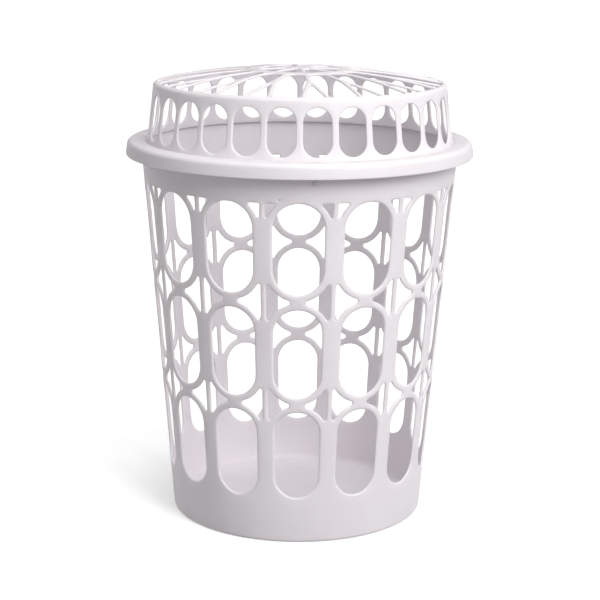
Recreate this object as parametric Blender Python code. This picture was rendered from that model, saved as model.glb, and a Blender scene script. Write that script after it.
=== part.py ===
"""Laundry hamper: a tapered openwork basket and the domed openwork lid that lifts off it.

Metres, +Z up.  The origin is the centre of the basket's foot and the front faces -Y.
Both pieces are turned shells whose openings are cut by prisms: radial ones through the
walls, upright ones through the lid's top.
"""

from math import acos, asin, cos, pi, sin, sqrt, tan

import bmesh
import bpy

# Basket: wall and openings
COLUMNS = 14                    # columns of openings, and upright ribs between them
WALL = 0.0034                   # wall thickness
WALL_RADIUS = 0.1583            # outer radius of the wall's cone, produced to the ground
WALL_SLOPE = 0.0813             # outer radius gained per metre of height
ROWS = 3
ROW_PITCH = 0.1272              # height from one row of ovals to the next
OVAL_HEIGHT = 0.1094
OVAL_SHARE = 0.752              # the ovals' width as a share of a column's width
LOWEST_OVAL = 0.0586            # bottom of the lowest row
BAND = 0.0080                   # width of the ring of material round an oval
THIN_RIB = 0.0065               # width of the upright between two windows
BRIDGE = 0.0200                 # width of the bar that joins one oval's ring to the next
BLUNT = 0.0035                  # width at which a window's sharp corner is squared off

# Basket: foot, floor and rim
FOOT_RADIUS = 0.1545
FOOT_WIDTH = 0.0070
FOOT_ROUNDING = 0.0065          # height of the rounded edge between wall and foot
FOOT_CURVE_OUT = 0.6            # where that rounding has its middle point, as a share of
FOOT_CURVE_UP = 0.25            # its way out from the foot and of its height
FLOOR_UNDERSIDE = 0.0015
FLOOR_TOP = 0.0042
FLOOR_PAD_RADIUS = 0.1000       # raised disc in the middle of the floor
FLOOR_PAD_STEP = 0.0010
RIM_TOP = 0.4672
RIM_RADIUS = 0.2085
RIM_THICKNESS = 0.0032
RIM_DROP = 0.0087               # height of the rim's turned-down edge
RIM_ROOT = 0.4590               # where the wall starts to flare out into the rim

# Lid, heights above its seat on the rim
SEAT_GAP = 0.0003               # air between the rim and the lid resting on it
SHELL = 0.0030                  # thickness of the lid's drum and dome
LIP_RADIUS = 0.2150
LIP_DROP = 0.0140               # how far the lip hangs below the seat
FLANGE_TOP = 0.0040
FLANGE_ROUNDING = 0.0060
GROOVE = 0.0020                 # depth of the groove round the drum's base
DRUM_RADIUS_LOW = 0.1887
DRUM_RADIUS_HIGH = 0.1808
DOME_EDGE = 0.0735
DOME_RISE = 0.0180
DOME_RADIUS = 0.1800            # radius at which the dome's curve is down to DOME_EDGE
DOME_STATIONS = (0, 0.30, 0.58, 0.80)   # where its profile has points, as shares of that radius
SHOULDER = 0.0063               # rounding between drum and dome

# Lid: openings
SLOTS = 28
SLOT_SHARE = 0.805              # the slots' width as a share of their pitch
SLOT_LOW = 0.0071
SLOT_HIGH = 0.0630
PETALS = 16
PETAL_OUTER = 0.1745
PETAL_INNER = 0.0620
PETAL_HALF_WIDTH = 0.0170
PETAL_TURN = 6.0                # degrees from the front to the first rib between petals
TOP_BAND = 0.0055               # width of the ribs between the openings of the top
HEARTS = 8                      # openings round the hub
HEART_OUTER = 0.0480
HEART_INNER = 0.0160

# Facets
TURN_STEPS = 56                 # facets of a full turn
END_STEPS = 5                   # facets of an oval's round end
SMALL_END_STEPS = 4             # the same on the lid's smaller openings
ARC_STEPS = 2                   # facets along a window's curved side
PROFILE_STEPS = 3               # facets of a profile's rounded corner
MERGE_DISTANCE = 0.00002        # points closer than this are one, on the axis

# Cutters
WALL_REACH = 0.012              # how far a wall's cutters run past it, inwards and outwards
TOP_CUT_LOW = 0.055             # heights above the seat between which the top is cut
TOP_CUT_HIGH = 0.105

WHITE = (0.80, 0.78, 0.80, 1.0)
ROUGHNESS = 0.42


def wall_radius(z):
    """Outer radius of the basket's wall at height z."""
    return WALL_RADIUS + WALL_SLOPE * z


def dome_height(radius):
    """Height of the lid's top above its seat."""
    return DOME_EDGE + DOME_RISE * (1 - (radius / DOME_RADIUS) ** 2)


def arc(centre, radius, start, end, steps):
    """Points of a circular arc from angle start to angle end, in degrees."""
    points = []
    for i in range(steps + 1):
        angle = (start + (end - start) * i / steps) * pi / 180
        points.append((centre[0] + radius * cos(angle), centre[1] + radius * sin(angle)))
    return points


# ---------------------------------------------------------------- outlines of openings

def stadium(half_width, height, end_steps):
    """Upright slot with round ends, counterclockwise, standing on the line y = 0."""
    bottom = arc((0, half_width), half_width, 180, 360, end_steps)
    top = arc((0, height - half_width), half_width, 0, 180, end_steps)
    return bottom + top


def mirrored(outline):
    """The same outline reflected left to right."""
    return [(-x, y) for x, y in outline]


def junction_window(half_width, half_bar, rib_edge):
    """Three-cornered window between four ovals, right of the bar that joins two of them.

    Heights count from the middle of that bar.  The two long sides follow the ovals' rings.
    """
    ring = half_width + BAND
    centre = half_bar + half_width
    tip = acos(BRIDGE / 2 / ring) * 180 / pi
    corner = acos((rib_edge - BLUNT) / ring) * 180 / pi
    lower = arc((0, -centre), ring, tip, corner, ARC_STEPS)
    upper = arc((0, centre), ring, -corner, -tip, ARC_STEPS)
    return lower + [(rib_edge, lower[-1][1]), (rib_edge, upper[0][1])] + upper


def corner_window(half_width, rib_edge):
    """Small window above the top ovals, beside a thin rib.

    Heights count from the ovals' tops, level with its flat upper side.
    """
    ring = half_width + BAND
    start = asin(half_width / ring) * 180 / pi
    corner = acos((rib_edge - BLUNT) / ring) * 180 / pi
    curved = arc((0, -half_width), ring, start, corner, ARC_STEPS)
    return curved + [(rib_edge, curved[-1][1]), (rib_edge, 0)]


def petal():
    """Radial opening of the lid's top: x sideways, y outwards from the centre."""
    half_pitch = sin(pi / PETALS)
    inner_half = PETAL_INNER * half_pitch / (1 - half_pitch) - TOP_BAND / 2
    shoulder = (PETAL_HALF_WIDTH + TOP_BAND / 2) / half_pitch
    inner_end = arc((0, PETAL_INNER + inner_half), inner_half, 180, 360, SMALL_END_STEPS)
    right = [(PETAL_HALF_WIDTH, shoulder), (PETAL_HALF_WIDTH, PETAL_OUTER - BLUNT)]
    outer = [(PETAL_HALF_WIDTH - BLUNT, PETAL_OUTER)]
    return inner_end + right + outer + mirrored(outer) + mirrored(right[::-1])


def wedge():
    """Opening between two petals' outer ends, on the line between them."""
    half_angle = pi / PETALS
    ring = PETAL_HALF_WIDTH + TOP_BAND
    apex = (ring + BLUNT / 2 * cos(half_angle)) / sin(half_angle)
    outer_half = PETAL_OUTER * tan(half_angle) - ring / cos(half_angle)
    return [(-BLUNT / 2, apex), (BLUNT / 2, apex), (outer_half, PETAL_OUTER), (-outer_half, PETAL_OUTER)]


def heart():
    """Opening between the hub and the ring round it."""
    half_angle = pi / HEARTS
    rib = TOP_BAND / 2 / cos(half_angle)
    inner = HEART_INNER * tan(half_angle) - rib
    outer = HEART_OUTER * tan(half_angle) - rib
    return [(-inner, HEART_INNER), (inner, HEART_INNER), (outer, HEART_OUTER - BLUNT),
            (outer - BLUNT, HEART_OUTER), (BLUNT - outer, HEART_OUTER), (-outer, HEART_OUTER - BLUNT)]


# ---------------------------------------------------------------- cutters

def prism(bm, near, far):
    """Closed prism between two rings of matching points."""
    ring_a = [bm.verts.new(point) for point in near]
    ring_b = [bm.verts.new(point) for point in far]
    bm.faces.new(ring_a)
    bm.faces.new(ring_b)
    for i in range(len(ring_a)):
        j = (i + 1) % len(ring_a)
        bm.faces.new((ring_a[i], ring_a[j], ring_b[j], ring_b[i]))


def turned(x, y, z, angle):
    """The point (x, y, z) turned about the Z axis."""
    return (x * cos(angle) - y * sin(angle), x * sin(angle) + y * cos(angle), z)


def wall_cut(bm, outline, base, radius, angle):
    """Prism through a wall: outline x runs round it at this radius, y is height over base."""
    rings = []
    for depth in (radius - WALL_REACH, radius + WALL_REACH):
        rings.append([turned(depth * tan(x / radius), -depth, base + y, angle) for x, y in outline])
    prism(bm, *rings)


def top_cut(bm, outline, angle):
    """Upright prism through the lid's top: outline y runs outwards from the centre."""
    rings = []
    for height in (TOP_CUT_LOW, TOP_CUT_HIGH):
        rings.append([turned(x, -y, height, angle) for x, y in outline])
    prism(bm, *rings)


def cutter_object(name, bm):
    """Hidden object that holds all the prisms of one shell."""
    bmesh.ops.recalc_face_normals(bm, faces=bm.faces)
    mesh = bpy.data.meshes.new(name)
    bm.to_mesh(mesh)
    bm.free()
    cutter = bpy.data.objects.new(name, mesh)
    bpy.context.collection.objects.link(cutter)
    cutter.hide_render = True
    cutter.display_type = "WIRE"
    return cutter


def basket_cutters():
    """Three rows of ovals, the windows between rows, and the windows over the top row."""
    bm = bmesh.new()
    column = 2 * pi / COLUMNS
    half_bar = (ROW_PITCH - OVAL_HEIGHT) / 2
    for i in range(COLUMNS):
        angle = i * column
        for row in range(ROWS):
            low = LOWEST_OVAL + row * ROW_PITCH
            radius = wall_radius(low + OVAL_HEIGHT / 2)
            half_width = OVAL_SHARE * column * radius / 2
            wall_cut(bm, stadium(half_width, OVAL_HEIGHT, END_STEPS), low, radius, angle)
            if row < ROWS - 1:
                base = low + OVAL_HEIGHT + half_bar
                radius = wall_radius(base)
                half_width = OVAL_SHARE * column * radius / 2
                rib_edge = (column * radius - THIN_RIB) / 2
                window = junction_window(half_width, half_bar, rib_edge)
            else:
                base = low + OVAL_HEIGHT
                radius = wall_radius(base)
                half_width = OVAL_SHARE * column * radius / 2
                rib_edge = (column * radius - THIN_RIB) / 2
                window = corner_window(half_width, rib_edge)
            wall_cut(bm, window, base, radius, angle)
            wall_cut(bm, mirrored(window), base, radius, angle)
    return cutter_object("basket_cutters", bm)


def lid_cutters():
    """Slots round the drum, petals and wedges of the top, and the openings round the hub."""
    bm = bmesh.new()
    radius = (DRUM_RADIUS_LOW + DRUM_RADIUS_HIGH) / 2
    slot = stadium(SLOT_SHARE * pi / SLOTS * radius, SLOT_HIGH - SLOT_LOW, SMALL_END_STEPS)
    for i in range(SLOTS):
        wall_cut(bm, slot, SLOT_LOW, radius, (i + 0.5) * 2 * pi / SLOTS)
    for i in range(PETALS):
        rib = PETAL_TURN * pi / 180 + i * 2 * pi / PETALS
        top_cut(bm, wedge(), rib)
        top_cut(bm, petal(), rib + pi / PETALS)
    for i in range(HEARTS):
        rib = PETAL_TURN * pi / 180 + i * 2 * pi / HEARTS
        top_cut(bm, heart(), rib + pi / HEARTS)
    return cutter_object("lid_cutters", bm)


# ---------------------------------------------------------------- turned profiles

def basket_profile():
    """From the floor's middle up the inside, over the rim, down the outside to the foot."""
    pad = FLOOR_TOP + FLOOR_PAD_STEP
    rim_under = RIM_TOP - RIM_THICKNESS
    edge_inside = RIM_RADIUS - RIM_THICKNESS
    low_wall = FLOOR_TOP + FOOT_ROUNDING
    foot_flare = wall_radius(FOOT_ROUNDING) - FOOT_RADIUS
    return [
        (0, pad),
        (FLOOR_PAD_RADIUS, pad),
        (FLOOR_PAD_RADIUS + FLOOR_PAD_STEP, FLOOR_TOP),
        (wall_radius(low_wall) - WALL - FOOT_ROUNDING, FLOOR_TOP),
        (wall_radius(low_wall) - WALL, low_wall),
        (wall_radius(rim_under) - WALL, rim_under),
        (wall_radius(RIM_TOP), RIM_TOP),
        (RIM_RADIUS - RIM_THICKNESS / 2, RIM_TOP),
        (RIM_RADIUS, RIM_TOP - RIM_THICKNESS / 2),
        (RIM_RADIUS, RIM_TOP - RIM_DROP),
        (edge_inside, RIM_TOP - RIM_DROP),
        (edge_inside, rim_under),
        (wall_radius(RIM_ROOT) + RIM_THICKNESS, rim_under),
        (wall_radius(RIM_ROOT), RIM_ROOT),
        (wall_radius(FOOT_ROUNDING), FOOT_ROUNDING),
        (FOOT_RADIUS + FOOT_CURVE_OUT * foot_flare, FOOT_CURVE_UP * FOOT_ROUNDING),
        (FOOT_RADIUS, 0),
        (FOOT_RADIUS - FOOT_WIDTH, 0),
        (FOOT_RADIUS - FOOT_WIDTH, FLOOR_UNDERSIDE),
        (0, FLOOR_UNDERSIDE),
    ]


def lid_profile():
    """From the dome's top down the outside, round the lip, and back up the inside."""
    shoulder = (DRUM_RADIUS_HIGH - SHOULDER, dome_height(DRUM_RADIUS_HIGH - SHOULDER) - SHOULDER)
    inner_shoulder = SHOULDER - SHELL
    edge = (LIP_RADIUS - 2 * SHELL / 3 - FLANGE_ROUNDING, FLANGE_TOP - FLANGE_ROUNDING)
    groove_radius = DRUM_RADIUS_LOW + GROOVE
    dome = [DOME_RADIUS * station for station in DOME_STATIONS]
    outside = [(radius, dome_height(radius)) for radius in dome]
    outside += arc(shoulder, SHOULDER, 80, 5, PROFILE_STEPS)
    outside += [(DRUM_RADIUS_LOW, FLANGE_TOP), (groove_radius, FLANGE_TOP - GROOVE)]
    outside += [(groove_radius + 2 * GROOVE, FLANGE_TOP)]
    outside += arc(edge, FLANGE_ROUNDING, 90, 5, PROFILE_STEPS)
    outside += [(LIP_RADIUS, -LIP_DROP)]
    inside = [(LIP_RADIUS - SHELL, -LIP_DROP), (RIM_RADIUS + SHELL / 2, -RIM_THICKNESS / 2), (RIM_RADIUS, 0)]
    inside += [(DRUM_RADIUS_LOW - SHELL / 2, 0), (DRUM_RADIUS_LOW - SHELL, FLANGE_TOP)]
    inside += arc(shoulder, inner_shoulder, 5, 80, 1)
    inside += [(radius, dome_height(radius) - SHELL) for radius in dome[::-1]]
    return outside + inside


# ---------------------------------------------------------------- objects

def plastic(name):
    """White satin moulded plastic."""
    material = bpy.data.materials.new(name)
    material.use_nodes = True
    shader = material.node_tree.nodes["Principled BSDF"]
    shader.inputs["Base Color"].default_value = WHITE
    shader.inputs["Roughness"].default_value = ROUGHNESS
    shader.inputs["Metallic"].default_value = 0.0
    return material


def turned_shell(name, profile, cutter, material):
    """Profile turned about the Z axis, with its openings cut."""
    mesh = bpy.data.meshes.new(name)
    edges = [(i, i + 1) for i in range(len(profile) - 1)]
    mesh.from_pydata([(radius, 0, z) for radius, z in profile], edges, [])
    mesh.materials.append(material)
    shell = bpy.data.objects.new(name, mesh)
    bpy.context.collection.objects.link(shell)
    screw = shell.modifiers.new("turn", "SCREW")
    screw.steps = TURN_STEPS
    screw.render_steps = TURN_STEPS
    screw.use_merge_vertices = True
    screw.merge_threshold = MERGE_DISTANCE
    screw.use_smooth_shade = True
    cut = shell.modifiers.new("openings", "BOOLEAN")
    cut.operation = "DIFFERENCE"
    cut.solver = "EXACT"
    cut.object = cutter
    return shell


def clear_scene():
    """Remove whatever the file holds."""
    for item in list(bpy.data.objects):
        bpy.data.objects.remove(item, do_unlink=True)


def build():
    """Basket on the ground, lid on its rim."""
    clear_scene()
    material = plastic("white_plastic")
    turned_shell("basket", basket_profile(), basket_cutters(), material)

    seat = bpy.data.objects.new("lid_seat", None)
    seat.location.z = RIM_TOP + SEAT_GAP
    bpy.context.collection.objects.link(seat)
    cutter = lid_cutters()
    lid = turned_shell("lid", lid_profile(), cutter, material)
    lid.parent = seat
    cutter.parent = seat


build()
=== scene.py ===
"""Looks of the laundry hamper: an openwork basket and its domed openwork lid, in white satin plastic.

Metres, +Z up, the front faces -Y.  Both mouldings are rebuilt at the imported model's sizes with
half-round edges in every opening, moulded rims, and the marks that the moulding tool leaves.
"""

from math import atan2, ceil, cos, hypot, pi, radians, sin, sqrt, tan

import bmesh
import bpy
import numpy as np
from mathutils import Euler, Matrix, Vector
from mathutils.geometry import delaunay_2d_cdt


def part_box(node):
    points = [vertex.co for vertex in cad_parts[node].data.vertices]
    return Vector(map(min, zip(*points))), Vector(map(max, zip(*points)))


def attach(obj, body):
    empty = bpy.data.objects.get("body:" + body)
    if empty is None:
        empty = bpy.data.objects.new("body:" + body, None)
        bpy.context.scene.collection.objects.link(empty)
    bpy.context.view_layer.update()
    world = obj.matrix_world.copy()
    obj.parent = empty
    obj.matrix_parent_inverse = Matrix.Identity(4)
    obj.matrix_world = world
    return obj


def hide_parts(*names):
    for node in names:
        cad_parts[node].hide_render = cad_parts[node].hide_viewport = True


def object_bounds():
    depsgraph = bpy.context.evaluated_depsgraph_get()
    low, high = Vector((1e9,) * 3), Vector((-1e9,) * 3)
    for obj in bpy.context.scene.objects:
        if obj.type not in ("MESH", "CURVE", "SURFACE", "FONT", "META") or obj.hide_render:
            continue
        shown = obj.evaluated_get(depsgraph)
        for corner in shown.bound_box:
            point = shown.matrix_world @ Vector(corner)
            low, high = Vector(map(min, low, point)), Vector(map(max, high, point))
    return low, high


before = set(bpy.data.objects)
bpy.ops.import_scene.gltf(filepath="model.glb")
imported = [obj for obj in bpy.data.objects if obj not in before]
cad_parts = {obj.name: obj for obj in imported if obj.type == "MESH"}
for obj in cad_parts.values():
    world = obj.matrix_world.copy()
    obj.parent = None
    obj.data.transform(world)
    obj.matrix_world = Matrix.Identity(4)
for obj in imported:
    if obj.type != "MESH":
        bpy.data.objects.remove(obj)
cad_low, cad_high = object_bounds()

# ---------------------------------------------------------------- sizes

SEGMENTS = 168                  # facets of a full turn, a multiple of every repeat round the hamper
ARC_SPACING = 0.0030            # distance between points on an opening's curves
SIDE_SPACING = 0.0050           # the same on its straight sides
LATTICE = 0.0070                # distance between the points inside a face
LATTICE_ROW = sqrt(0.75)        # distance between its rows, as a share of that, on the dome
LATTICE_ROOM = 0.0024           # lattice points stay this far from an opening's outline
EDGE_STEPS = 6                  # facets across an opening's half-round edge
FILLET_TURN = radians(15)       # turn of one facet in a profile's rounded corner
WELD = 0.000002                 # points closer than this are one
LEVEL = 1e-12                   # an edge that rises less than this is level
TRIANGLE_ROOM = 1e-8            # precision of the triangulation

# Basket: wall and openings
GROUND = cad_low.z
COLUMNS = 14                    # columns of openings, and upright ribs between them
WALL = 0.0034
WALL_RADIUS = 0.1583            # outer radius of the wall's cone, produced to the ground
WALL_SLOPE = 0.0813             # outer radius gained per metre of height
SHEET_RADIUS = 0.1850           # radius at which one column of the wall is laid out flat
ROWS = 3
ROW_PITCH = 0.1272
OVAL_HEIGHT = 0.1094
OVAL_SHARE = 0.752              # the ovals' width as a share of a column's width
OVAL_INSET = 0.0014             # the narrowest line of an oval lies this far inside that width
OVAL_EDGE = 0.0028              # width of the rounding beside an oval
LOWEST_OVAL = 0.0586
BAND = 0.0080                   # width of the ring of material round an oval
THIN_RIB = 0.0065               # width of the upright between two windows
WINDOW_EDGE = 0.0024            # width of the rounding beside a window
WINDOW_TIP = 0.0095             # distance from a window's tip to the column's middle
WINDOW_CORNER = 0.0020          # radius of a window's corners at the thin rib
SMALL_CORNER = 0.0015           # radius of the corners of the windows over the top row
FACE_LOW = 0.0500               # the wall is plain below this height
FACE_HIGH = 0.4320              # and above this one

DIMPLE_PLACE = (-0.0224, 0.4262)        # across from the front column's middle, and height
# The dimple's rings: radius, and depth as a share of the wall
DIMPLE_STEPS = ((0.0016, 0), (0.0013, 0.06), (0.0011, 0.30), (0.0008, 0.38), (0, 0.40))
DIMPLE_FACETS = 16
STOP_ANGLE = radians(5.5)       # small stop under the lid's lip, right of the front
STOP_HEIGHT = 0.4475
STOP_SIZE = (0.0064, 0.0030, 0.0076)
STOP_SUNK = 0.0004              # how far its back lies inside the wall
STOP_ROUNDING = 0.0008
STOP_TAPER = 0.25               # how much narrower its outer end is
STOP_FACETS = 3

# Basket: foot, floor and rim
FOOT_INNER = 0.1475
FOOT_ROUNDING = 0.0040
FOOT_RING_ROUNDING = 0.0006     # radius of the foot ring's inner edge
FOOT_RING_FILLET = 0.0005
FLOOR_UNDERSIDE = 0.0015
FLOOR_TOP = 0.0042
FLOOR_COVE = 0.0062             # radius between floor and wall
FLOOR_PAD_RADIUS = 0.1000
FLOOR_PAD_STEP = 0.0010
FLOOR_PAD_SLOPE = 0.0012        # width of the pad's sloping edge
FLOOR_PAD_ROUNDING = 0.0010
FLOOR_BEAD_RADIUS = 0.1360      # fine raised ring on the floor
FLOOR_BEAD = 0.0006
FLOOR_BEAD_HALF = 0.0018        # half the ring's width
FLOOR_BEAD_FILLET = 0.0008
FLOOR_BEAD_ROUNDING = 0.0012
BUTTON_RADIUS = 0.0024          # small disc in the middle of the floor
BUTTON_SLOPE = 0.0006
BUTTON_RISE = 0.0005
BUTTON_FILLET = 0.0008
BUTTON_ROUNDING = 0.0006
UNDERSIDE_RINGS = (0.122, 0.090, 0.058)
RING_DROP = 0.0009
RING_HALF = 0.0016              # half the width of an underside ring
RING_CREST_HALF = 0.0008        # and of its crest
RING_ROUNDING = 0.0004
GATE_RADIUS = 0.0060            # disc left by the moulding's inlet
GATE_SINK = 0.0006              # depth of the disc, and width of its sloping edge
GATE_ROUNDING = 0.0003
NIB_RADIUS = 0.0012             # nib in the disc's middle
NIB_SLOPE = 0.0004
NIB_DROP = 0.0002
RIM_TOP = 0.4672
RIM_RADIUS = 0.2085
RIM_THICKNESS = 0.0032
RIM_DROP = 0.0087
RIM_FILLET = 0.0030             # radius between the wall and the rim's underside
RIM_EDGE_ROUNDING = 0.0012      # radius of the rim's lower edges
RIM_TOP_ROUNDING = 0.0026       # radius of its upper ones

# Lid, heights above its seat on the rim
LIP_DROP = 0.0140               # the lip hangs this far below the seat
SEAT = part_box("lid")[0].z + LIP_DROP
SHELL = 0.0030
LIP_RADIUS = 0.2150
LIP_ROUNDING = 0.0011
LIP_PLAY = 0.0010               # play between the basket's rim and the lip
LIP_FILLET = 0.0015
FLANGE_RADIUS = 0.2126          # radius at which the flange's top would meet the lip
FLANGE_TOP = 0.0040
FLANGE_ROUNDING = 0.0065
GROOVE = 0.0020                 # depth and width of the groove at the drum's foot
GROOVE_SLOPE = 0.0030           # width of the groove's outer side
GROOVE_CREST_ROUNDING = 0.0025
GROOVE_ROUNDING = 0.0010
DRUM_FOOT_FLARE = 0.0004        # the drum's foot stands out by this
DRUM_FOOT_FILLET = 0.0008
DRUM_INSIDE_FILLET = 0.0012
DRUM_RADIUS_LOW = 0.1887
DRUM_RADIUS_HIGH = 0.1808
DRUM_HIGH = 0.0688
DRUM_FACE_LOW = 0.0047          # the drum's wall is plain below this height
DRUM_FACE_HIGH = 0.0668         # and above this one
DOME_EDGE = 0.0735
DOME_RISE = 0.0180
DOME_RADIUS = 0.1800
SHOULDER = 0.0050
SHOULDER_RADIUS = 0.1802        # radius at which dome and drum would meet
TOP_FACE_RADIUS = 0.1763        # the dome's openings stay inside this radius
TOP_FACE_RADIUS_INSIDE = 0.1756

# Lid: openings
SLOTS = 28
SLOT_SHARE = 0.805
SLOT_LOW = 0.0071
SLOT_HIGH = 0.0630
LID_EDGE = 0.0018               # width of the rounding beside the lid's openings
PETALS = 16
PETAL_OUTER = 0.1738
PETAL_INNER = 0.0620
PETAL_HALF_WIDTH = 0.0170
PETAL_TURN = radians(6.0)
PETAL_CORNER = 0.0045
TOP_BAND = 0.0055
WEDGE_CORNER = 0.0013
HEARTS = 8
HEART_OUTER = 0.0480
HEART_INNER = 0.0160
HEART_CORNER = 0.0030


def wall_radius(z):
    """Outer radius of the basket's wall at height z."""
    return WALL_RADIUS + WALL_SLOPE * z


def drum_radius(z):
    """Outer radius of the lid's drum at height z above the seat."""
    slope = (DRUM_RADIUS_HIGH - DRUM_RADIUS_LOW) / (DRUM_HIGH - FLANGE_TOP)
    return DRUM_RADIUS_LOW + slope * (z - FLANGE_TOP)


def dome_height(radius):
    """Height of the lid's top above its seat."""
    return DOME_EDGE + DOME_RISE * (1 - (radius / DOME_RADIUS) ** 2)


# ---------------------------------------------------------------- outlines
# An outline is a counterclockwise ring of points (x, y, normal x, normal y); the normals point
# out of the opening, into the material.  It is made of arcs (centre x, centre y, radius, start,
# sweep) joined by straight sides.

def arc_points(arc, steps):
    """Points along one arc; the normal turns inwards where the arc runs clockwise."""
    x, y, radius, start, sweep = arc
    side = 1 if sweep > 0 else -1
    points = []
    for i in range(steps + 1):
        angle = start + sweep * i / steps
        across, up = cos(angle), sin(angle)
        points.append((x + radius * across, y + radius * up, side * across, side * up))
    return points


def outline(arcs):
    """Ring of points along these arcs and the straight sides between them."""
    runs = []
    for arc in arcs:
        steps = max(2, ceil(abs(arc[4]) * arc[2] / ARC_SPACING))
        runs.append(arc_points(arc, steps))
    ring = []
    for run, following in zip(runs, runs[1:] + runs[:1]):
        ring += run
        (x, y), (next_x, next_y) = run[-1][:2], following[0][:2]
        length = hypot(next_x - x, next_y - y)
        if length < WELD:
            ring.pop()
            continue
        normal = ((next_y - y) / length, (x - next_x) / length)
        steps = ceil(length / SIDE_SPACING)
        for i in range(1, steps):
            share = i / steps
            ring.append((x + (next_x - x) * share, y + (next_y - y) * share, *normal))
    return ring


def corner_arc(before, corner, after, radius):
    """The arc that rounds off one corner of a polygon."""
    arriving = (Vector(corner) - Vector(before)).normalized()
    leaving = (Vector(after) - Vector(corner)).normalized()
    turn = atan2(arriving.x * leaving.y - arriving.y * leaving.x, arriving.dot(leaving))
    side = 1 if turn > 0 else -1
    outwards = Vector((arriving.y, -arriving.x)) * side
    centre = Vector(corner) - arriving * radius * tan(abs(turn) / 2) - outwards * radius
    return (centre.x, centre.y, radius, atan2(outwards.y, outwards.x), turn)


def polygon(corners):
    """Outline of a polygon whose corners (x, y, radius) are rounded off."""
    arcs = []
    for i, (x, y, radius) in enumerate(corners):
        before = corners[i - 1][:2]
        after = corners[(i + 1) % len(corners)][:2]
        arcs.append(corner_arc(before, (x, y), after, radius))
    return outline(arcs)


def mirrored(ring):
    """The same outline reflected left to right, still counterclockwise."""
    return [(-x, y, -nx, ny) for x, y, nx, ny in reversed(ring)]


def stadium(half_width, height):
    """Upright slot with round ends, standing on the line y = 0."""
    return outline([(0, half_width, half_width, pi, pi), (0, height - half_width, half_width, 0, pi)])


def junction_window(half_width, half_bar, rib_edge):
    """Three-cornered window between four ovals, right of the bar that joins two of them.

    Heights count from the middle of that bar.  The two long sides follow the ovals' rings.
    """
    ring = half_width + BAND
    centre = half_bar + half_width
    tip = (centre ** 2 + WINDOW_TIP ** 2 - ring ** 2) / 2 / (ring - WINDOW_TIP)
    tip_x = WINDOW_TIP + tip
    tip_angle = atan2(centre, tip_x)
    corner_x = rib_edge - WINDOW_CORNER
    corner_y = centre - sqrt((ring + WINDOW_CORNER) ** 2 - corner_x ** 2)
    corner_angle = atan2(centre - corner_y, corner_x)
    return outline([
        (tip_x, 0, tip, pi - tip_angle, 2 * tip_angle),
        (0, -centre, ring, tip_angle, corner_angle - tip_angle),
        (corner_x, -corner_y, WINDOW_CORNER, pi + corner_angle, pi - corner_angle),
        (corner_x, corner_y, WINDOW_CORNER, 0, pi - corner_angle),
        (0, centre, ring, -corner_angle, corner_angle - tip_angle),
    ])


def corner_window(half_width, rib_edge):
    """Small window above the top ovals, beside a thin rib.

    Heights count from the ovals' tops, level with its flat upper side.
    """
    ring = half_width + BAND
    radius = SMALL_CORNER
    left_x = sqrt((ring + radius) ** 2 - (half_width - radius) ** 2)
    left_angle = atan2(half_width - radius, left_x)
    right_x = rib_edge - radius
    low_y = sqrt((ring + radius) ** 2 - right_x ** 2) - half_width
    low_angle = atan2(low_y + half_width, right_x)
    return outline([
        (left_x, -radius, radius, pi / 2, pi / 2 + left_angle),
        (0, -half_width, ring, left_angle, low_angle - left_angle),
        (right_x, low_y, radius, pi + low_angle, pi - low_angle),
        (right_x, -radius, radius, 0, pi / 2),
    ])


def petal():
    """Radial opening of the lid's top: x sideways, y outwards from the centre."""
    half_pitch = sin(pi / PETALS)
    inner_half = PETAL_INNER * half_pitch / (1 - half_pitch) - TOP_BAND / 2
    shoulder = (PETAL_HALF_WIDTH + TOP_BAND / 2) / half_pitch
    lean = pi / PETALS
    inner_y = PETAL_INNER + inner_half
    return outline([
        (0, inner_y, inner_half, pi + lean, pi - 2 * lean),
        corner_arc((0, 0), (PETAL_HALF_WIDTH, shoulder), (PETAL_HALF_WIDTH, PETAL_OUTER), PETAL_CORNER),
        (PETAL_HALF_WIDTH - PETAL_CORNER, PETAL_OUTER - PETAL_CORNER, PETAL_CORNER, 0, pi / 2),
        (PETAL_CORNER - PETAL_HALF_WIDTH, PETAL_OUTER - PETAL_CORNER, PETAL_CORNER, pi / 2, pi / 2),
        corner_arc((-PETAL_HALF_WIDTH, PETAL_OUTER), (-PETAL_HALF_WIDTH, shoulder), (0, 0), PETAL_CORNER),
    ])


def wedge():
    """Opening between two petals' outer ends, on the line between them."""
    half_angle = pi / PETALS
    ring = PETAL_HALF_WIDTH + TOP_BAND
    apex = ring / sin(half_angle)
    outer_half = PETAL_OUTER * tan(half_angle) - ring / cos(half_angle)
    return polygon([
        (0, apex, WEDGE_CORNER),
        (outer_half, PETAL_OUTER, WEDGE_CORNER),
        (-outer_half, PETAL_OUTER, WEDGE_CORNER),
    ])


def heart():
    """Opening between the hub and the ring round it."""
    half_angle = pi / HEARTS
    rib = TOP_BAND / 2 / cos(half_angle)
    inner = HEART_INNER * tan(half_angle) - rib
    outer = HEART_OUTER * tan(half_angle) - rib
    return polygon([
        (-inner, HEART_INNER, HEART_CORNER / 2),
        (inner, HEART_INNER, HEART_CORNER / 2),
        (outer, HEART_OUTER, HEART_CORNER),
        (-outer, HEART_OUTER, HEART_CORNER),
    ])


# ---------------------------------------------------------------- perforated sheets
# A sheet is laid out flat: points (x, y, depth), where depth runs from 0 on the outer face to
# 1 on the inner one, and the faces between them.

def edge_rings(ring, rounding):
    """Rings across an opening's half-round edge, from the outer face to the inner one."""
    rings = []
    for step in range(EDGE_STEPS + 1):
        turn = pi * step / EDGE_STEPS
        offset = rounding * (1 - sin(turn))
        depth = (1 - cos(turn)) / 2
        rings.append([(x + nx * offset, y + ny * offset, depth) for x, y, nx, ny in ring])
    return rings


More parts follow.
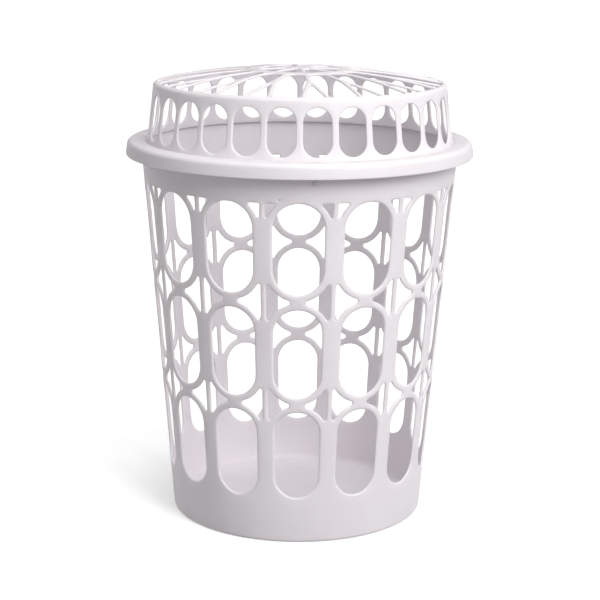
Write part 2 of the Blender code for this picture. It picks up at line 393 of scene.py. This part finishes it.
def inside(points, loop):
    """Which of these points lie inside the closed loop."""
    x, y = points[:, 0, None], points[:, 1, None]
    loop = np.asarray(loop)[:, :2]
    following = np.roll(loop, -1, axis=0)
    crosses = (loop[:, 1] > y) != (following[:, 1] > y)
    rise = following[:, 1] - loop[:, 1]
    rise = np.where(np.abs(rise) < LEVEL, LEVEL, rise)
    at = loop[:, 0] + (y - loop[:, 1]) * (following[:, 0] - loop[:, 0]) / rise
    return (np.sum(crosses & (x < at), axis=1) % 2) == 1


def free_of(points, loops):
    """The points that lie outside every loop and not close to any."""
    points = np.asarray(points, float)
    keep = np.ones(len(points), bool)
    for loop in loops:
        flat = np.asarray(loop)[:, :2]
        gap = np.hypot(points[:, None, 0] - flat[:, 0], points[:, None, 1] - flat[:, 1]).min(axis=1)
        keep &= (gap > LATTICE_ROOM) & ~inside(points, loop)
    return points[keep].tolist()


def face_triangles(border, lattice, loops):
    """Triangles between the border and the openings' loops, with their points."""
    points = []
    edges = []
    for loop in [border, *loops]:
        first = len(points)
        points += [(p[0], p[1]) for p in loop]
        edges += [(first + i, first + (i + 1) % len(loop)) for i in range(len(loop))]
    points += [(x, y) for x, y in free_of(lattice, loops)]
    flat = [Vector(point) for point in points]
    corners, _, triangles, *_ = delaunay_2d_cdt(flat, edges, [], 0, TRIANGLE_ROOM)
    corners = np.array([tuple(c) for c in corners])
    triangles = np.array([t[:] for t in triangles])
    middles = corners[triangles].mean(axis=1)
    keep = inside(middles, border)
    for loop in loops:
        keep &= ~inside(middles, loop)
    return corners.tolist(), triangles[keep].tolist()


def perforated_sheet(border, lattice, openings, dimples=()):
    """Sheet with a border loop, openings given as edge rings, and dimples in its outer face."""
    loops = [rings[0] for rings in openings]
    outer, outer_faces = face_triangles(border, lattice, loops + [rings[0] for rings in dimples])
    inner, inner_faces = face_triangles(border, lattice, loops)
    count = len(outer)
    points = [(x, y, 0) for x, y in outer] + [(x, y, 1) for x, y in inner]
    faces = [tuple(t) for t in outer_faces]
    faces += [(count + a, count + c, count + b) for a, b, c in inner_faces]
    for rings in [*openings, *dimples]:
        faces += strip_faces(len(points), len(rings), len(rings[0]))
        for ring in rings:
            points += ring
    return points, faces


def strip_faces(first, rings, length):
    """Quads between successive closed rings of equal length."""
    faces = []
    for row in range(rings - 1):
        for i in range(length):
            a = first + row * length + i
            b = first + row * length + (i + 1) % length
            faces.append((a, b, b + length, a + length))
    return faces


def strip_border(half_width, low, high, steps, spacing):
    """Rectangle with points where the neighbouring strips have theirs, and its lattice."""
    across = [half_width * (2 * i / steps - 1) for i in range(steps + 1)]
    rows = ceil((high - low) / spacing)
    up = [low + (high - low) * i / rows for i in range(rows + 1)]
    border = [(x, low) for x in across] + [(half_width, z) for z in up[1:]]
    border += [(x, high) for x in across[-2::-1]] + [(-half_width, z) for z in up[-2:0:-1]]
    lattice = [(x, z) for x in across[1:-1] for z in up[1:-1]]
    return border, lattice


# ---------------------------------------------------------------- solids

class Shell:
    """Points and faces of one moulding, gathered before they are welded into a mesh."""

    def __init__(self):
        self.points = []
        self.faces = []

    def add(self, points, faces):
        """Add a patch; its faces count from its own first point."""
        first = len(self.points)
        self.points += points
        self.faces += [tuple(first + i for i in face) for face in faces]

    def turn(self, profile, height=0.0):
        """Add the surface of a profile (radius, z) turned about the Z axis."""
        rings = []
        for radius, z in profile:
            for i in range(SEGMENTS):
                angle = 2 * pi * i / SEGMENTS
                rings.append((radius * cos(angle), radius * sin(angle), z + height))
        self.add(rings, strip_faces(0, len(profile), SEGMENTS))

    def mesh_object(self, name, material):
        """Welded, smooth-shaded object."""
        mesh = bpy.data.meshes.new(name)
        mesh.from_pydata(self.points, [], self.faces)
        bm = bmesh.new()
        bm.from_mesh(mesh)
        bmesh.ops.remove_doubles(bm, verts=bm.verts, dist=WELD)
        bmesh.ops.dissolve_degenerate(bm, edges=bm.edges, dist=WELD)
        bmesh.ops.recalc_face_normals(bm, faces=bm.faces)
        bm.to_mesh(mesh)
        bm.free()
        mesh.shade_smooth()
        mesh.materials.append(material)
        piece = bpy.data.objects.new(name, mesh)
        bpy.context.scene.collection.objects.link(piece)
        return piece


def rounded_profile(corners):
    """Open profile (radius, z) whose inner corners (radius, z, rounding) are rounded off."""
    profile = [corners[0][:2]]
    for before, corner, after in zip(corners, corners[1:], corners[2:]):
        if len(corner) < 3:
            profile.append(corner)
            continue
        arc = corner_arc(before[:2], corner[:2], after[:2], corner[2])
        steps = max(2, ceil(abs(arc[4]) / FILLET_TURN))
        profile += [(x, y) for x, y, _, _ in arc_points(arc, steps)]
    return profile + [corners[-1][:2]]


def wall_point(x, y, depth, turn):
    """A point of the basket's flat layout, rolled up at this column."""
    angle = turn + x / SHEET_RADIUS
    radius = wall_radius(y) - WALL * depth
    return (radius * sin(angle), -radius * cos(angle), y)


def drum_point(x, y, depth, turn):
    """A point of the drum's flat layout, rolled up at this slot."""
    angle = turn + x / DRUM_RADIUS_LOW
    radius = drum_radius(y) - SHELL * depth
    return (radius * sin(angle), -radius * cos(angle), SEAT + y)


def laid_out(rings, base, radius, sheet_radius):
    """Edge rings moved to their height and scaled from their own radius to the layout's."""
    share = sheet_radius / radius
    return [[(x * share, base + y, depth) for x, y, depth in ring] for ring in rings]


# ---------------------------------------------------------------- basket

def column_openings():
    """One column's three ovals, the windows between rows and those over the top row."""
    openings = []
    column = 2 * pi / COLUMNS
    half_bar = (ROW_PITCH - OVAL_HEIGHT) / 2
    for row in range(ROWS):
        low = LOWEST_OVAL + row * ROW_PITCH
        radius = wall_radius(low + OVAL_HEIGHT / 2)
        half_width = OVAL_SHARE * column * radius / 2 - OVAL_INSET
        rings = edge_rings(stadium(half_width, OVAL_HEIGHT), OVAL_EDGE)
        openings.append(laid_out(rings, low, radius, SHEET_RADIUS))
        top_row = row == ROWS - 1
        base = low + OVAL_HEIGHT + (0 if top_row else half_bar)
        radius = wall_radius(base)
        half_width = OVAL_SHARE * column * radius / 2
        rib_edge = (column * radius - THIN_RIB) / 2
        if top_row:
            window = corner_window(half_width, rib_edge)
        else:
            window = junction_window(half_width, half_bar, rib_edge)
        for side in (window, mirrored(window)):
            openings.append(laid_out(edge_rings(side, WINDOW_EDGE), base, radius, SHEET_RADIUS))
    return openings


def rim_profile():
    """From the top of the openwork up the outside, over the rim, and down the inside."""
    under = RIM_TOP - RIM_THICKNESS
    inner = RIM_RADIUS - RIM_THICKNESS
    low = RIM_TOP - RIM_DROP
    return rounded_profile([
        (wall_radius(FACE_HIGH), FACE_HIGH),
        (wall_radius(under), under, RIM_FILLET),
        (inner, under, RIM_EDGE_ROUNDING),
        (inner, low, RIM_EDGE_ROUNDING),
        (RIM_RADIUS, low, RIM_EDGE_ROUNDING),
        (RIM_RADIUS, RIM_TOP, RIM_TOP_ROUNDING),
        (wall_radius(RIM_TOP) - WALL, RIM_TOP, RIM_TOP_ROUNDING),
        (wall_radius(FACE_HIGH) - WALL, FACE_HIGH),
    ])


def foot_profile():
    """From the bottom of the openwork down the outside, under the foot, to the middle."""
    corners = [
        (wall_radius(FACE_LOW), FACE_LOW),
        (wall_radius(0), GROUND, FOOT_ROUNDING),
        (FOOT_INNER, GROUND, FOOT_RING_ROUNDING),
        (FOOT_INNER, FLOOR_UNDERSIDE, FOOT_RING_FILLET),
    ]
    crest = FLOOR_UNDERSIDE - RING_DROP
    for radius in UNDERSIDE_RINGS:
        corners += [
            (radius + RING_HALF, FLOOR_UNDERSIDE, RING_ROUNDING),
            (radius + RING_CREST_HALF, crest, RING_ROUNDING),
            (radius - RING_CREST_HALF, crest, RING_ROUNDING),
            (radius - RING_HALF, FLOOR_UNDERSIDE, RING_ROUNDING),
        ]
    sunk = FLOOR_UNDERSIDE + GATE_SINK
    nib = FLOOR_UNDERSIDE - NIB_DROP
    corners += [
        (GATE_RADIUS + GATE_SINK, FLOOR_UNDERSIDE, GATE_ROUNDING),
        (GATE_RADIUS, sunk, GATE_ROUNDING),
        (NIB_RADIUS + NIB_SLOPE, sunk, GATE_ROUNDING),
        (NIB_RADIUS, nib, GATE_ROUNDING),
        (0, nib),
    ]
    return rounded_profile(corners)


def floor_profile():
    """From the bottom of the openwork down the inside and over the floor to the middle."""
    pad = FLOOR_TOP + FLOOR_PAD_STEP
    button = pad + BUTTON_RISE
    bead = FLOOR_BEAD_RADIUS
    return rounded_profile([
        (wall_radius(FACE_LOW) - WALL, FACE_LOW),
        (wall_radius(FLOOR_TOP) - WALL, FLOOR_TOP, FLOOR_COVE),
        (bead + FLOOR_BEAD_HALF, FLOOR_TOP, FLOOR_BEAD_FILLET),
        (bead, FLOOR_TOP + FLOOR_BEAD, FLOOR_BEAD_ROUNDING),
        (bead - FLOOR_BEAD_HALF, FLOOR_TOP, FLOOR_BEAD_FILLET),
        (FLOOR_PAD_RADIUS + FLOOR_PAD_SLOPE, FLOOR_TOP, FLOOR_PAD_ROUNDING),
        (FLOOR_PAD_RADIUS, pad, FLOOR_PAD_ROUNDING),
        (BUTTON_RADIUS + BUTTON_SLOPE, pad, BUTTON_FILLET),
        (BUTTON_RADIUS, button, BUTTON_ROUNDING),
        (0, button),
    ])


def dimple_rings():
    """Small round sink in the front column, beside the top oval."""
    rings = []
    for radius, depth in DIMPLE_STEPS:
        ring = arc_points((DIMPLE_PLACE[0], DIMPLE_PLACE[1], radius, 0, 2 * pi), DIMPLE_FACETS)[:-1]
        rings.append([(x, y, depth) for x, y, _, _ in ring])
    return rings


def basket(material):
    """The lower moulding."""
    shell = Shell()
    column = 2 * pi / COLUMNS
    steps = SEGMENTS // COLUMNS
    border, lattice = strip_border(column / 2 * SHEET_RADIUS, FACE_LOW, FACE_HIGH, steps, LATTICE)
    front = perforated_sheet(border, lattice, column_openings(), [dimple_rings()])
    plain = perforated_sheet(border, lattice, column_openings())
    for i in range(COLUMNS):
        points, faces = plain if i else front
        shell.add([wall_point(x, y, depth, i * column) for x, y, depth in points], faces)
    shell.turn(rim_profile())
    shell.turn(foot_profile())
    shell.turn(floor_profile())
    return shell.mesh_object("openwork_basket", material)


def rim_stop(material):
    """Small moulded stop on the wall, just under the lid's lip: a block with rounded edges."""
    width, depth, height = STOP_SIZE
    bm = bmesh.new()
    bmesh.ops.create_cube(bm, size=1)
    for vertex in bm.verts:
        lean = WALL_SLOPE * vertex.co.z * height
        taper = 1 - STOP_TAPER * (0.5 - vertex.co.y)
        vertex.co = (vertex.co.x * width * taper, vertex.co.y * depth - lean, vertex.co.z * height * taper)
    bmesh.ops.bevel(
        bm, geom=bm.edges[:], offset=STOP_ROUNDING, segments=STOP_FACETS, profile=0.5, affect="EDGES")
    mesh = bpy.data.meshes.new("rim_stop")
    bm.to_mesh(mesh)
    bm.free()
    mesh.shade_smooth()
    mesh.materials.append(material)
    piece = bpy.data.objects.new("rim_stop", mesh)
    radius = wall_radius(STOP_HEIGHT) - STOP_SUNK + depth / 2
    mesh.transform(Matrix.Translation((0, -radius, STOP_HEIGHT)))
    mesh.transform(Matrix.Rotation(STOP_ANGLE, 4, "Z"))
    bpy.context.scene.collection.objects.link(piece)
    return piece


# ---------------------------------------------------------------- lid

def top_point(x, y, depth):
    """A point of the dome's flat layout, lifted onto the dome."""
    radius = hypot(x, y)
    if depth == 1 and radius > TOP_FACE_RADIUS - WELD:
        share = TOP_FACE_RADIUS_INSIDE / radius
        x, y, radius = x * share, y * share, radius * share
    return (x, y, SEAT + dome_height(radius) - SHELL * depth)


def spread(rings, angle):
    """Edge rings of one opening of the top, turned to their place round the hub."""
    turned = []
    for ring in rings:
        turned.append([
            (x * cos(angle) + y * sin(angle), x * sin(angle) - y * cos(angle), depth) for x, y, depth in ring
        ])
    return turned


def top_openings():
    """Petals and wedges of the dome and the openings round its hub."""
    openings = []
    for i in range(PETALS):
        rib = PETAL_TURN + i * 2 * pi / PETALS
        openings.append(spread(edge_rings(wedge(), LID_EDGE), rib))
        openings.append(spread(edge_rings(petal(), LID_EDGE), rib + pi / PETALS))
    for i in range(HEARTS):
        rib = PETAL_TURN + (i + 0.5) * 2 * pi / HEARTS
        openings.append(spread(edge_rings(heart(), LID_EDGE), rib))
    return openings


def disc_layout(radius):
    """Border and lattice of the dome's plan."""
    border = []
    for i in range(SEGMENTS):
        angle = 2 * pi * i / SEGMENTS
        border.append((radius * cos(angle), radius * sin(angle)))
    lattice = []
    rows = ceil(radius / LATTICE)
    for row in range(-rows, rows + 1):
        for i in range(-rows, rows + 1):
            x = (i + 0.5 * (row % 2)) * LATTICE
            y = row * LATTICE * LATTICE_ROW
            if hypot(x, y) < radius - LATTICE_ROOM:
                lattice.append((x, y))
    return border, lattice


def slot_rings():
    """One slot of the drum."""
    height = (SLOT_LOW + SLOT_HIGH) / 2
    radius = drum_radius(height)
    ring = stadium(SLOT_SHARE * pi / SLOTS * radius, SLOT_HIGH - SLOT_LOW)
    return laid_out(edge_rings(ring, LID_EDGE), SLOT_LOW, radius, DRUM_RADIUS_LOW)


def shoulder_profile(depth, radius, rounding):
    """Corner between the dome and the drum, on the outer face (depth 0) or the inner one."""
    sink = SHELL * depth
    corner = SHOULDER_RADIUS - sink
    return rounded_profile([
        (radius, dome_height(radius) - sink),
        (corner, dome_height(corner) - sink, rounding),
        (drum_radius(DRUM_FACE_HIGH) - sink, DRUM_FACE_HIGH),
    ])


def flange_profile():
    """From the drum's base over the flange, round the lip, and back to the drum's inside."""
    groove = DRUM_RADIUS_LOW + GROOVE
    bottom = FLANGE_TOP - GROOVE
    return rounded_profile([
        (drum_radius(DRUM_FACE_LOW), DRUM_FACE_LOW),
        (DRUM_RADIUS_LOW + DRUM_FOOT_FLARE, bottom, DRUM_FOOT_FILLET),
        (groove, bottom, GROOVE_ROUNDING),
        (groove + GROOVE_SLOPE, FLANGE_TOP, GROOVE_CREST_ROUNDING),
        (FLANGE_RADIUS, FLANGE_TOP, FLANGE_ROUNDING),
        (LIP_RADIUS, -LIP_DROP, LIP_ROUNDING),
        (LIP_RADIUS - SHELL, -LIP_DROP, LIP_ROUNDING),
        (RIM_RADIUS + LIP_PLAY, 0, LIP_FILLET),
        (DRUM_RADIUS_LOW - SHELL / 2, 0, DRUM_INSIDE_FILLET),
        (drum_radius(DRUM_FACE_LOW) - SHELL, DRUM_FACE_LOW),
    ])


def lid(material):
    """The upper moulding."""
    shell = Shell()
    pitch = 2 * pi / SLOTS
    half_width = pitch / 2 * DRUM_RADIUS_LOW
    border, lattice = strip_border(half_width, DRUM_FACE_LOW, DRUM_FACE_HIGH, SEGMENTS // SLOTS, LATTICE)
    points, faces = perforated_sheet(border, lattice, [slot_rings()])
    for i in range(SLOTS):
        shell.add([drum_point(x, y, depth, (i + 0.5) * pitch) for x, y, depth in points], faces)
    border, lattice = disc_layout(TOP_FACE_RADIUS)
    points, faces = perforated_sheet(border, lattice, top_openings())
    shell.add([top_point(*point) for point in points], faces)
    shell.turn(shoulder_profile(0, TOP_FACE_RADIUS, SHOULDER), SEAT)
    shell.turn(shoulder_profile(1, TOP_FACE_RADIUS_INSIDE, SHOULDER - SHELL), SEAT)
    shell.turn(flange_profile(), SEAT)
    return shell.mesh_object("openwork_lid", material)


# ---------------------------------------------------------------- materials

PLASTIC = (0.80, 0.760, 0.789)          # white with a slight lilac cast
PLASTIC_DEEPER = (0.766, 0.722, 0.752)
SCUFF = (0.62, 0.60, 0.60)
REFRACTION = 1.49
GLOW_SHARE = 0.55                       # share of the light that goes into the plastic
GLOW_COLOURS = (1.0, 0.97, 0.98)
GLOW_DEPTH = 0.010

# Noises of the plastic: scale, detail and, for the last one, roughness
CLOUDS = (7.0, 3.0)                     # slow change of shade
STREAKS = (1.0, 4.0)                    # flow marks, drawn out upwards
STREAK_STRETCH = (18.0, 18.0, 2.4)
SCRATCHES = (1.0, 2.0)                  # fine, slanting and nearly level
SCRATCH_STRETCH = (60.0, 60.0, 900.0)
SCRATCH_TILT = (0.2, 0.35, 0.0)
PATCHES = (38.0, 3.0)                   # duller and glossier patches
SINKS = (22.0, 2.0)                     # shallow waves in the surface
GRAIN = (1400.0, 3.0, 0.6)              # grain of the mould

# What those noises are mapped to: from low, from high, to low, to high
CLOUD_RANGE = (0.35, 0.68, 0.0, 1.0)
STREAK_RANGE = (0.55, 0.80, 0.0, 0.5)
SCRATCH_RANGE = (0.66, 0.76, 0.0, 1.0)
SCUFF_RANGE = (0.0, 1.0, 0.0, 0.35)
DULLNESS_RANGE = (0.3, 0.7, 0.42, 0.54)
SCUFFED_FOOT = 0.015                    # the basket is scuffed most below this height
SCUFF_FADE = 0.035                      # scuffs thin out over this height
SCUFF_LEFT = 0.12                       # and this share of them is left above it

# Bumps: distance and strength
SINK_BUMP = (0.0009, 0.35)
GRAIN_BUMP = (0.00005, 0.5)
SCRATCH_BUMP = (-0.00004, 0.6)


class Nodes:
    """Short way to add and link a material's nodes."""

    def __init__(self, tree):
        self.tree = tree

    def add(self, kind, **settings):
        """New node; settings are its own properties, or inputs by name."""
        node = self.tree.nodes.new(kind)
        for name, value in settings.items():
            if name in node.bl_rna.properties:
                setattr(node, name, value)
            else:
                node.inputs[name.title()].default_value = value
        return node

    def link(self, source, target):
        """Join an output socket to an input socket."""
        self.tree.links.new(source, target)


def noise(nodes, place, scale, detail, roughness=0.5):
    """Noise over the object's own coordinates."""
    node = nodes.add("ShaderNodeTexNoise", scale=scale, detail=detail, roughness=roughness)
    nodes.link(place, node.inputs["Vector"])
    return node.outputs["Fac"]


def ranged(nodes, value, low, high, to_low, to_high):
    """The value mapped from one range to another, smoothly and clamped."""
    node = nodes.add("ShaderNodeMapRange", interpolation_type="SMOOTHSTEP")
    for name, number in (("From Min", low), ("From Max", high), ("To Min", to_low), ("To Max", to_high)):
        node.inputs[name].default_value = number
    nodes.link(value, node.inputs["Value"])
    return node.outputs["Result"]


def product(nodes, first, second):
    """First value times the second."""
    node = nodes.add("ShaderNodeMath", operation="MULTIPLY")
    nodes.link(first, node.inputs[0])
    nodes.link(second, node.inputs[1])
    return node.outputs["Value"]


def stretched(nodes, place, scale, tilt=(0.0, 0.0, 0.0)):
    """Coordinates that draw a pattern out."""
    node = nodes.add("ShaderNodeMapping", scale=scale, rotation=tilt)
    nodes.link(place, node.inputs["Vector"])
    return node.outputs["Vector"]


def mixed(nodes, share, first, second):
    """Colour between two others; each is a colour or a socket."""
    node = nodes.add("ShaderNodeMix", data_type="RGBA")
    nodes.link(share, node.inputs["Factor"])
    for socket, colour in ((node.inputs[6], first), (node.inputs[7], second)):
        if isinstance(colour, tuple):
            socket.default_value = (*colour, 1)
        else:
            nodes.link(colour, socket)
    return node.outputs[2]


def bumped(nodes, height, distance, strength, beneath=None):
    """Normal bent by a height pattern, on top of another bump."""
    node = nodes.add("ShaderNodeBump", strength=strength, distance=distance)
    nodes.link(height, node.inputs["Height"])
    if beneath:
        nodes.link(beneath, node.inputs["Normal"])
    return node.outputs["Normal"]


def satin_plastic(name, scuffed_below):
    """Moulded polypropylene: fine spark-eroded grain, soft flow marks, and scuffs low down."""
    material = bpy.data.materials.new(name)
    material.use_nodes = True
    nodes = Nodes(material.node_tree)
    shader = material.node_tree.nodes["Principled BSDF"]
    shader.inputs["IOR"].default_value = REFRACTION
    shader.inputs["Subsurface Weight"].default_value = GLOW_SHARE
    shader.inputs["Subsurface Radius"].default_value = GLOW_COLOURS
    shader.inputs["Subsurface Scale"].default_value = GLOW_DEPTH
    place = nodes.add("ShaderNodeTexCoord").outputs["Object"]

    clouds = ranged(nodes, noise(nodes, place, *CLOUDS), *CLOUD_RANGE)
    upwards = stretched(nodes, place, STREAK_STRETCH)
    streaks = ranged(nodes, noise(nodes, upwards, *STREAKS), *STREAK_RANGE)
    slanting = stretched(nodes, place, SCRATCH_STRETCH, SCRATCH_TILT)
    scratches = ranged(nodes, noise(nodes, slanting, *SCRATCHES), *SCRATCH_RANGE)
    split = nodes.add("ShaderNodeSeparateXYZ")
    nodes.link(place, split.inputs["Vector"])
    low = ranged(nodes, split.outputs["Z"], scuffed_below, scuffed_below + SCUFF_FADE, 1.0, SCUFF_LEFT)
    wear = product(nodes, scratches, low)

    tint = mixed(nodes, clouds, PLASTIC, PLASTIC_DEEPER)
    tint = mixed(nodes, streaks, tint, PLASTIC_DEEPER)
    tint = mixed(nodes, ranged(nodes, wear, *SCUFF_RANGE), tint, SCUFF)
    nodes.link(tint, shader.inputs["Base Color"])

    dullness = ranged(nodes, noise(nodes, place, *PATCHES), *DULLNESS_RANGE)
    nodes.link(dullness, shader.inputs["Roughness"])

    sinks = bumped(nodes, noise(nodes, place, *SINKS), *SINK_BUMP)
    grain = bumped(nodes, noise(nodes, place, *GRAIN), *GRAIN_BUMP, sinks)
    nodes.link(bumped(nodes, wear, *SCRATCH_BUMP, grain), shader.inputs["Normal"])
    return material


# ---------------------------------------------------------------- studio

FLOOR_SIZE = 30.0               # half its width
FLOOR_WHITE = (0.97, 0.97, 0.975)
FLOOR_WHITE_DEEPER = (0.95, 0.95, 0.955)
FLOOR_SQUARES = 8
FLOOR_DULLNESS = 0.85
FLOOR_CLOUDS = (1.3, 2.0)       # scale and detail of its slow change of shade
FLOOR_CLOUD_RANGE = (0.3, 0.7, 0.0, 1.0)
FLOOR_GLOW = 0.28               # keeps the background white
FLOOR_GAP = 0.0002              # between the floor and the foot
SKY = (1.0, 0.99, 1.0)
SKY_STRENGTH = 0.33
# Lights: degrees from the front towards the right, degrees from overhead, strength, spread
KEY_LIGHT = (46.0, 60.0, 1.84, 36.0)
OVERHEAD_LIGHT = (10.0, 10.0, 1.16, 60.0)
# Soft panel near the lid: place, what it faces, width and power
PANEL_PLACE = (0.30, -0.80, 0.92)
PANEL_FACES = (0.0, 0.0, 0.45)
PANEL_WIDTH = 0.40
PANEL_POWER = 2.2

CAMERA_PLACE = (0.0022, -2.1033, 0.7638)
CAMERA_PITCH = 13.34            # degrees down from level
CAMERA_ROLL = 0.52              # degrees
LENS = 102.3
SENSOR = 36.0


def studio_floor():
    """Wide pale floor."""
    bm = bmesh.new()
    bmesh.ops.create_grid(bm, x_segments=FLOOR_SQUARES, y_segments=FLOOR_SQUARES, size=FLOOR_SIZE)
    mesh = bpy.data.meshes.new("studio_floor")
    bm.to_mesh(mesh)
    bm.free()
    material = bpy.data.materials.new("studio_floor")
    material.use_nodes = True
    nodes = Nodes(material.node_tree)
    shader = material.node_tree.nodes["Principled BSDF"]
    shader.inputs["Roughness"].default_value = FLOOR_DULLNESS
    shader.inputs["Emission Color"].default_value = (1, 1, 1, 1)
    shader.inputs["Emission Strength"].default_value = FLOOR_GLOW
    place = nodes.add("ShaderNodeTexCoord").outputs["Object"]
    cloud = ranged(nodes, noise(nodes, place, *FLOOR_CLOUDS), *FLOOR_CLOUD_RANGE)
    nodes.link(mixed(nodes, cloud, FLOOR_WHITE, FLOOR_WHITE_DEEPER), shader.inputs["Base Color"])
    mesh.materials.append(material)
    floor = bpy.data.objects.new("studio_floor", mesh)
    floor.location.z = GROUND - FLOOR_GAP
    floor.visible_diffuse = False
    bpy.context.scene.collection.objects.link(floor)


def sky():
    """Even light from all round."""
    world = bpy.data.worlds.new("studio")
    bpy.context.scene.world = world
    world.use_nodes = True
    background = world.node_tree.nodes["Background"]
    background.inputs["Color"].default_value = (*SKY, 1)
    background.inputs["Strength"].default_value = SKY_STRENGTH


def soft_light(name, azimuth, from_zenith, strength, spread):
    """Distant soft light; azimuth counts from the front towards the right, angles in degrees."""
    light = bpy.data.lights.new(name, "SUN")
    light.energy = strength
    light.angle = radians(spread)
    lamp = bpy.data.objects.new(name, light)
    lamp.rotation_euler = (radians(from_zenith), 0, radians(azimuth))
    bpy.context.scene.collection.objects.link(lamp)


def panel():
    """Soft panel near the lid, which lights the hamper's upper part more than its foot."""
    light = bpy.data.lights.new("panel", "AREA")
    light.energy = PANEL_POWER
    light.size = PANEL_WIDTH
    lamp = bpy.data.objects.new("panel", light)
    lamp.location = PANEL_PLACE
    towards = Vector(PANEL_FACES) - Vector(PANEL_PLACE)
    lamp.rotation_euler = towards.to_track_quat("-Z", "Y").to_euler()
    lamp.visible_camera = False
    bpy.context.scene.collection.objects.link(lamp)


def lights():
    """Soft key from the right and front, a broad light overhead, and a panel near the lid."""
    soft_light("key", *KEY_LIGHT)
    soft_light("overhead", *OVERHEAD_LIGHT)
    panel()


def camera():
    """View of the whole hamper from a little above its lid."""
    data = bpy.data.cameras.new("camera")
    data.lens = LENS
    data.sensor_width = SENSOR
    eye = bpy.data.objects.new("camera", data)
    eye.location = CAMERA_PLACE
    level = Euler((radians(90 - CAMERA_PITCH), 0, 0)).to_matrix()
    roll = Euler((0, 0, radians(CAMERA_ROLL))).to_matrix()
    eye.rotation_euler = (level @ roll).to_euler()
    bpy.context.scene.collection.objects.link(eye)
    bpy.context.scene.camera = eye


# ---------------------------------------------------------------- scene

def dress(piece, body):
    """The piece moves with its body and stands for the node of that name, which is hidden."""
    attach(piece, body)
    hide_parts(body)


bpy.context.scene.view_settings.view_transform = "Standard"
camera()
studio_floor()
sky()
lights()
basket_plastic = satin_plastic("basket_plastic", SCUFFED_FOOT)
dress(basket(basket_plastic), "basket")
dress(rim_stop(basket_plastic), "basket")
dress(lid(satin_plastic("lid_plastic", SEAT - LIP_DROP)), "lid")
